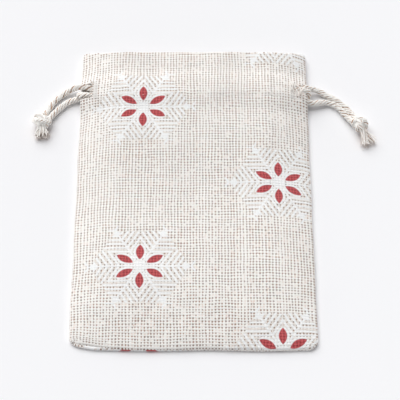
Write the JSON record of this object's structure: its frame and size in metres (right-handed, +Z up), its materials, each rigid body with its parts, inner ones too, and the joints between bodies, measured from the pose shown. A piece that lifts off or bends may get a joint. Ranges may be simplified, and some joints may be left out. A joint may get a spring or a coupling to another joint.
{
  "type": "drawstring gift pouch",
  "caption": "Flat fabric gift pouch lying on its back, with a hemmed drawstring channel below an open mouth and knotted, frayed cords at both sides.",
  "frame": {"origin": "on the resting surface under the middle of the sack's cloth", "axes": "+X across the sack to its sewn side, +Y from the closed bottom to the mouth, +Z up out of the front cloth"},
  "size_m": [0.1507, 0.14, 0.0114],
  "materials": {
    "cloth": "open plain-weave polycotton, cream, printed with white snowflakes that have red petals",
    "cord": "twisted cotton cord, warm off-white",
    "thread": "matt sewing thread, off-white"
  },
  "bodies": {
    "sack": {"back_casing_lower_stitching": "thread", "back_casing_upper_stitching": "thread", "back_panel": "cloth", "bottom_overlock_thread": "thread", "bottom_seam_allowance": "cloth", "bottom_seam_stitching": "thread", "front_casing_lower_stitching": "thread", "front_casing_upper_stitching": "thread", "front_panel": "cloth", "left_back_bar_tack": "thread", "left_front_bar_tack": "thread", "right_back_bar_tack": "thread", "right_front_bar_tack": "thread", "right_overlock_thread": "thread", "right_seam_allowance": "cloth", "right_seam_stitching": "thread"},
    "left_drawstring": {"left_cord_back_tail": "cord", "left_cord_front_tail": "cord", "left_cord_in_casing": "cord", "left_cord_knot": "cord", "left_cord_tassel": "cord"},
    "right_drawstring": {"right_cord_back_tail": "cord", "right_cord_front_tail": "cord", "right_cord_in_casing": "cord", "right_cord_knot": "cord", "right_cord_tassel": "cord"}
  },
  "joints": [
    {"name": "left_drawstring_pull", "type": "slide", "parent": "sack", "child": "left_drawstring", "axis": [-1, 0, 0], "range_m": [0, 0.026], "deforming": ["front_panel", "back_panel", "front_casing_lower_stitching", "front_casing_upper_stitching", "back_casing_lower_stitching", "back_casing_upper_stitching", "right_front_bar_tack", "right_back_bar_tack", "right_seam_allowance", "right_seam_stitching", "right_overlock_thread"]},
    {"name": "right_drawstring_pull", "type": "slide", "parent": "sack", "child": "right_drawstring", "axis": [1, 0, 0], "range_m": [0, 0.026], "deforming": ["front_panel", "back_panel", "front_casing_lower_stitching", "front_casing_upper_stitching", "back_casing_lower_stitching", "back_casing_upper_stitching", "left_front_bar_tack", "left_back_bar_tack"]}
  ]
}
